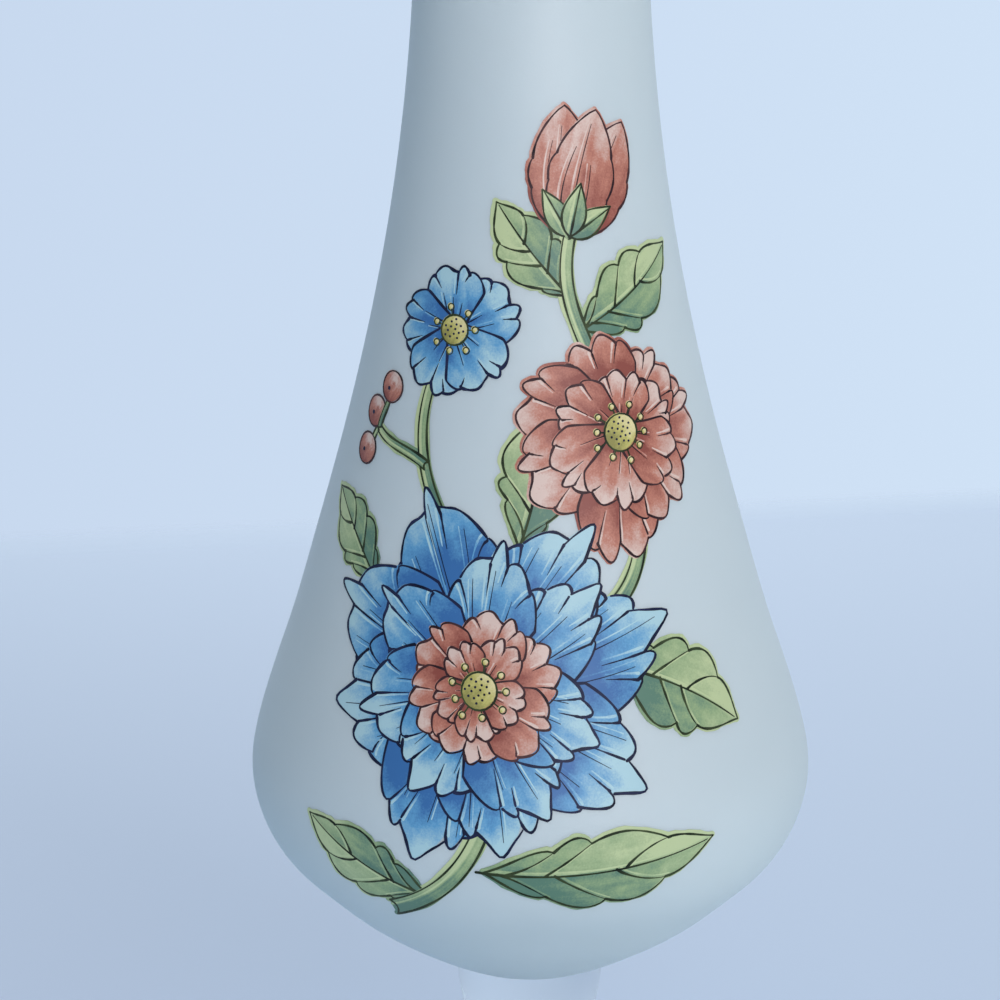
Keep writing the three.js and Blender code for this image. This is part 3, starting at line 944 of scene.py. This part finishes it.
class Shader:
    """A node tree. What a node is given is a number, a colour, or another node's output."""

    def __init__(self, owner):
        owner.use_nodes = True
        self.owner = owner
        self.tree = owner.node_tree

    def node(self, kind, inputs=None, **settings):
        made = self.tree.nodes.new("ShaderNode" + kind)
        for name, value in settings.items():
            setattr(made, name, value)
        self.give(made, inputs or {})
        return made

    def give(self, node, inputs):
        for name, value in inputs.items():
            if isinstance(value, bpy.types.NodeSocket):
                self.tree.links.new(value, node.inputs[name])
            else:
                node.inputs[name].default_value = value

    def math(self, operation, *values):
        return self.node("Math", dict(enumerate(values)), operation=operation).outputs[0]

    def total(self, first, *others):
        for value in others:
            first = self.math("ADD", first, value)
        return first

    def times(self, a, b):
        return self.math("MULTIPLY", a, b)

    def place(self):
        return self.node("TexCoord").outputs["Object"]

    def brush(self):
        """The share, side and tone that a print's mesh holds."""
        held = self.node("Attribute", attribute_name="brush").outputs["Vector"]
        return self.node("SeparateXYZ", {0: held}).outputs

    def noise(self, size, detail=2.0, vector=None):
        """Noise round zero, from about -0.5 to 0.5, with features of about the given size."""
        inputs = {"Vector": vector or self.place(), "Scale": 1 / size, "Detail": detail}
        return self.math("SUBTRACT", self.node("TexNoise", inputs).outputs[0], NOISE_MIDDLE)

    def varied(self, middle, by, noise):
        """A value that noise moves from its middle, by up to about half of the second number."""
        return self.total(self.times(noise, by), middle)

    def clouds(self, size, stops, detail=2.0):
        """A ramp's colours in clouds of about the given size."""
        return self.ramp(self.total(self.noise(size, detail), NOISE_MIDDLE), stops)

    def span(self, value, low, high, to_low=0.0, to_high=1.0):
        """A value mapped from one range to another, and kept in it."""
        return self.node("MapRange", {0: value, 1: low, 2: high, 3: to_low, 4: to_high}).outputs[0]

    def ramp(self, value, stops):
        made = self.node("ValToRGB", {"Fac": value})
        elements = made.color_ramp.elements
        while len(elements) < len(stops):
            elements.new(1)
        for element, (position, colour) in zip(elements, stops):
            element.position = position
            element.color = colour
        return made.outputs["Color"]

    def mix(self, factor, a, b):
        """Two colours mixed. On a Mix node, inputs 6 and 7 and output 2 are the ones for colours."""
        return self.node("Mix", {"Factor": factor, 6: a, 7: b}, data_type="RGBA").outputs[2]

    def mix_shaders(self, factor, a, b):
        return self.node("MixShader", {0: factor, 1: a.outputs[0], 2: b.outputs[0]}).outputs[0]

    def bump(self, height, distance):
        return self.node("Bump", {"Height": height, "Distance": distance}).outputs[0]


def material(name, **fixed):
    shader = Shader(bpy.data.materials.new(name))
    surface = shader.tree.nodes["Principled BSDF"]
    shader.give(surface, {key.replace("_", " "): value for key, value in fixed.items()})
    return shader, surface


def finished(shader, surface, colour, roughness, normal):
    shader.give(surface, {"Base Color": colour, "Roughness": roughness, "Normal": normal})
    return shader.owner


def satin_opal():
    """Milky glass with faint clouds, rare grey specks, and a frosted skin that is a little uneven."""
    shader, surface = material("satin opal glass", IOR=GLASS_IOR, Subsurface_Weight=0.35)
    shader.give(surface, {"Subsurface Scale": 2.5 * MM, "Subsurface Radius": (1, 1, 1)})
    clouds = shader.clouds(45 * MM, OPAL, detail=3)
    cells = shader.node("TexVoronoi", {"Vector": shader.place(), "Scale": 1 / SPECK_SPACING}).outputs
    chance = shader.node("SeparateColor", {0: cells["Color"]}).outputs[0]
    rare = shader.math("GREATER_THAN", chance, SPECK_RARITY)
    speck = shader.times(shader.span(cells["Distance"], *SPECK_EDGE, SPECK_STRENGTH, 0), rare)
    frost = shader.noise(0.25 * MM)
    roughness = shader.varied(0.5, by=0.12, noise=shader.noise(9 * MM, detail=3))
    ripple = shader.total(shader.times(frost, FROST_DEPTH), shader.noise(14 * MM, detail=1))
    bumps = shader.bump(ripple, distance=0.06 * MM)
    return finished(shader, surface, shader.mix(speck, clouds, SPECK), roughness, bumps)


def clear_glass():
    """Glass with faint level waves, as pressing leaves them. Its shadow is pale."""
    shader, surface = material("clear glass", IOR=GLASS_IOR, Transmission_Weight=1)
    tint = shader.clouds(20 * MM, CLEAR)
    patches = shader.noise(5 * MM, detail=3)
    roughness = shader.span(patches, low=-0.2, high=0.3, to_low=0.01, to_high=0.05)
    bands = shader.node("Mapping", {"Vector": shader.place(), "Scale": WAVES_STRETCH}).outputs[0]
    waves = shader.bump(shader.noise(6 * MM, detail=1, vector=bands), distance=0.25 * MM)
    passing = shader.node("BsdfTransparent", {"Color": CLEAR_SHADOW})
    mixed = shader.mix_shaders(shader.node("LightPath").outputs["Is Shadow Ray"], surface, passing)
    shader.give(shader.tree.nodes["Material Output"], {"Surface": mixed})
    return finished(shader, surface, tint, roughness, waves)


def enamel(name, dark, middle, pale, two_tone):
    """Enamel like watercolour: dark at a petal's base, pale at its tip, in streaks, blots and fine grain."""
    shader, surface = material(f"{name} enamel", IOR=GLASS_IOR)
    share, side, tone = shader.brush()
    across, along = shader.times(side, STREAKS_ACROSS), shader.times(share, STREAKS_ALONG)
    streaked = shader.node("CombineXYZ", {0: across, 1: along, 2: tone}).outputs[0]
    wash = shader.total(
        shader.times(share, WASH),
        shader.times(shader.span(side, -SIDES_BLEND, SIDES_BLEND, -1, 1), two_tone),
        shader.times(shader.noise(1, detail=3, vector=streaked), STREAKS),
        shader.times(shader.noise(2.4 * MM, detail=3), BLOTS),
        shader.times(shader.noise(0.22 * MM), GRAIN),
        tone,
    )
    colour = shader.ramp(wash, [(stop, srgb(*rgb)) for stop, rgb in zip(ENAMEL_STOPS, (dark, middle, pale))])
    roughness = shader.varied(0.45, by=0.2, noise=shader.noise(1.5 * MM))
    grain = shader.bump(shader.noise(0.3 * MM), distance=0.006 * MM)
    return finished(shader, surface, colour, roughness, grain)


def ink_enamel():
    """Nearly black ink, which leans to blue, brown or green."""
    shader, surface = material("ink enamel", IOR=GLASS_IOR, Specular_IOR_Level=0.2)
    tint = shader.brush()[2]
    shade = shader.span(shader.noise(3 * MM, detail=3), low=-0.2, high=0.2)
    colour = shader.mix(shade, shader.ramp(tint, INK_DARK), shader.ramp(tint, INK_LIGHT))
    roughness = shader.varied(0.45, by=0.3, noise=shader.noise(0.6 * MM))
    grain = shader.bump(shader.noise(0.25 * MM), distance=0.01 * MM)
    return finished(shader, surface, colour, roughness, grain)


def dress(piece, finish):
    piece.data.materials.append(finish)
    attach(piece, "root")


dress(vessel, satin_opal())
dress(pedestal, clear_glass())
finishes = {f"enamel_{name}": enamel(name, *looks) for name, looks in ENAMELS.items()}
films = printed_films()
dress(films[INK], ink_enamel())
for name, (slot, places) in PRINT.items():
    films[name].name = f"enamel_{name}"
    dress(films[name], finishes["enamel_gold" if name in EYES else slot])
    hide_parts(*(f"print_{place}" for place in places))


# Stage, in metres

DAYLIGHT = srgb(238, 247, 255)
DAYLIGHT_FROM_LEFT = 0.21
DAYLIGHT_FROM_RIGHT = 0.43
BACKDROP_LEFT = srgb(200, 217, 239)
BACKDROP_RIGHT = srgb(208, 226, 246)
BACKDROP_BLEND = 0.25
ROOM_BEHIND = 0.5
ROOM_SPAN = (-0.5, 0.8)

TABLE_REACH = 0.9
TABLE_BACK = 0.72
TABLE_BACK_SLOPE = 0.37
TABLE_FADE = 0.09
TABLE_TOP = -0.2 * MM
# Painted shade on the table: near the vase its colour is darker, more so on the left, and far from it paler
TABLE_FAR_SPAN = (0.05, 0.6)
TABLE_FAR_CURVE = 0.6
TABLE_LEFT_SPAN = (0.06, -0.08)
TABLE_LEFT = srgb(194, 211, 234)
TABLE_RIGHT = srgb(204, 222, 244)
TABLE_FAR = srgb(216, 232, 250)
# Bounce colours: painted light that the table throws onto the vase from below, paler than the table looks and
# less on the left
TABLE_BOUNCE_LEFT = srgb(206, 232, 255)
TABLE_BOUNCE_RIGHT = srgb(232, 248, 255)

LAMP_TARGET = Vector((0, 0, 0.1))
LAMPS = {
    "window": {"place": (0.75, -2.07, 0.63), "size": 1.6, "power": 27.6, "colour": srgb(255, 247, 250)},
    "back_window": {"place": (0, 1.3, 1.63), "size": 1.2, "power": 18, "colour": srgb(246, 249, 255)},
}


def seen_rays(shader):
    """1 on the rays of the camera, gloss and glass, and 0 on those that light something."""
    ray = shader.node("LightPath").outputs
    direct = shader.math("MAXIMUM", ray["Is Camera Ray"], ray["Is Glossy Ray"])
    return shader.math("MAXIMUM", direct, ray["Is Transmission Ray"])


def add_world():
    """Soft daylight on the object, and a pale blue backdrop for what the camera, glass and gloss see."""
    shader = Shader(bpy.data.worlds.new("studio"))
    shader.tree.nodes.clear()
    direction = shader.node("TexCoord").outputs["Generated"]
    rightward, forward, _ = shader.node("SeparateXYZ", {0: direction}).outputs
    strength = shader.span(rightward, -1, 1, DAYLIGHT_FROM_LEFT, DAYLIGHT_FROM_RIGHT)
    light = shader.node("Background", {"Color": DAYLIGHT, "Strength": strength})
    right = shader.span(rightward, -BACKDROP_BLEND, BACKDROP_BLEND)
    colour = shader.mix(right, BACKDROP_LEFT, BACKDROP_RIGHT)
    room = shader.span(forward, *ROOM_SPAN, ROOM_BEHIND, 1)
    camera = shader.node("LightPath").outputs["Is Camera Ray"]
    backdrop = shader.node("Background", {"Color": colour, "Strength": shader.math("MAXIMUM", room, camera)})
    mixed = shader.mix_shaders(seen_rays(shader), light, backdrop)
    shader.node("OutputWorld", {"Surface": mixed})
    bpy.context.scene.world = shader.owner


def pale_table():
    """A table top with painted shade, darker round the vase and more so to its left. It fades into the
    backdrop at its edges.
    """
    shader, surface = material("pale table", Roughness=0.6)
    place = shader.place()
    x, y, _ = shader.node("SeparateXYZ", {0: place}).outputs
    distance = shader.node("VectorMath", {0: place}, operation="LENGTH").outputs["Value"]
    # Painted shade round the vase, darker still on its left
    far = shader.math("POWER", shader.span(distance, *TABLE_FAR_SPAN), TABLE_FAR_CURVE)
    left = shader.span(x, *TABLE_LEFT_SPAN)
    seen_colour_with_painted_shade = shader.mix(far, shader.mix(left, TABLE_RIGHT, TABLE_LEFT), TABLE_FAR)
    # Painted bounce light onto the vase, less on the left
    bounce = shader.mix(left, TABLE_BOUNCE_RIGHT, TABLE_BOUNCE_LEFT)
    aslant = shader.math("SUBTRACT", shader.total(shader.times(x, TABLE_BACK_SLOPE), TABLE_BACK), y)
    beside_vase = shader.math("SUBTRACT", TABLE_REACH, shader.math("ABSOLUTE", x))
    room = shader.math("MINIMUM", shader.math("MINIMUM", aslant, beside_vase), shader.total(y, TABLE_REACH))
    shader.give(surface, {"Base Color": shader.mix(seen_rays(shader), bounce, seen_colour_with_painted_shade)})
    shader.give(surface, {"Alpha": shader.span(room, 0, TABLE_FADE)})
    return shader.owner


def add_floor():
    """The table top. Its back edge is aslant, as the line behind the vase is in the photograph."""
    reach, drop = TABLE_REACH, TABLE_BACK_SLOPE * TABLE_REACH
    corners = [(-reach, -reach), (reach, -reach), (reach, TABLE_BACK + drop), (-reach, TABLE_BACK - drop)]
    mesh = bpy.data.meshes.new("floor")
    mesh.from_pydata([(x, y, TABLE_TOP) for x, y in corners], [], [range(len(corners))])
    mesh.materials.append(pale_table())
    floor = placed("floor", mesh)


def add_lamp(name, place, size, power, colour):
    lamp = bpy.data.objects.new(name, bpy.data.lights.new(name, "AREA"))
    bpy.context.scene.collection.objects.link(lamp)
    lamp.location = place
    lamp.rotation_euler = (LAMP_TARGET - lamp.location).to_track_quat("-Z", "Y").to_euler()
    lamp.data.size = size
    lamp.data.energy = power
    lamp.data.color = colour[:3]
    lamp.visible_transmission = False


add_world()
add_floor()
for name, lamp in LAMPS.items():
    add_lamp(name, **lamp)


# Camera, fitted to the vessel's outline in the photograph, in the photograph's frame of 1000 x 1000 pixels

FRAME_PIXELS = 1000
FOCAL_PIXELS = 2002
AXIS_COLUMN = 530.5
CAMERA_DISTANCE = 260 * MM
CAMERA_PITCH = math.radians(7)
AIM_HEIGHT = 92 * MM
SENSOR_WIDTH = 36


def add_camera():
    camera = bpy.data.objects.new("camera", bpy.data.cameras.new("camera"))
    bpy.context.scene.collection.objects.link(camera)
    camera.data.sensor_width = SENSOR_WIDTH
    camera.data.lens = FOCAL_PIXELS / FRAME_PIXELS * SENSOR_WIDTH
    back = Vector((0, -math.cos(CAMERA_PITCH), math.sin(CAMERA_PITCH)))
    camera.location = Vector((0, 0, AIM_HEIGHT)) + back * CAMERA_DISTANCE
    yaw = math.atan((AXIS_COLUMN - FRAME_PIXELS / 2) / FOCAL_PIXELS)
    camera.rotation_euler = (math.pi / 2 - CAMERA_PITCH, 0, yaw)
    bpy.context.scene.camera = camera


add_camera()

bpy.context.scene.view_settings.view_transform = "Standard"
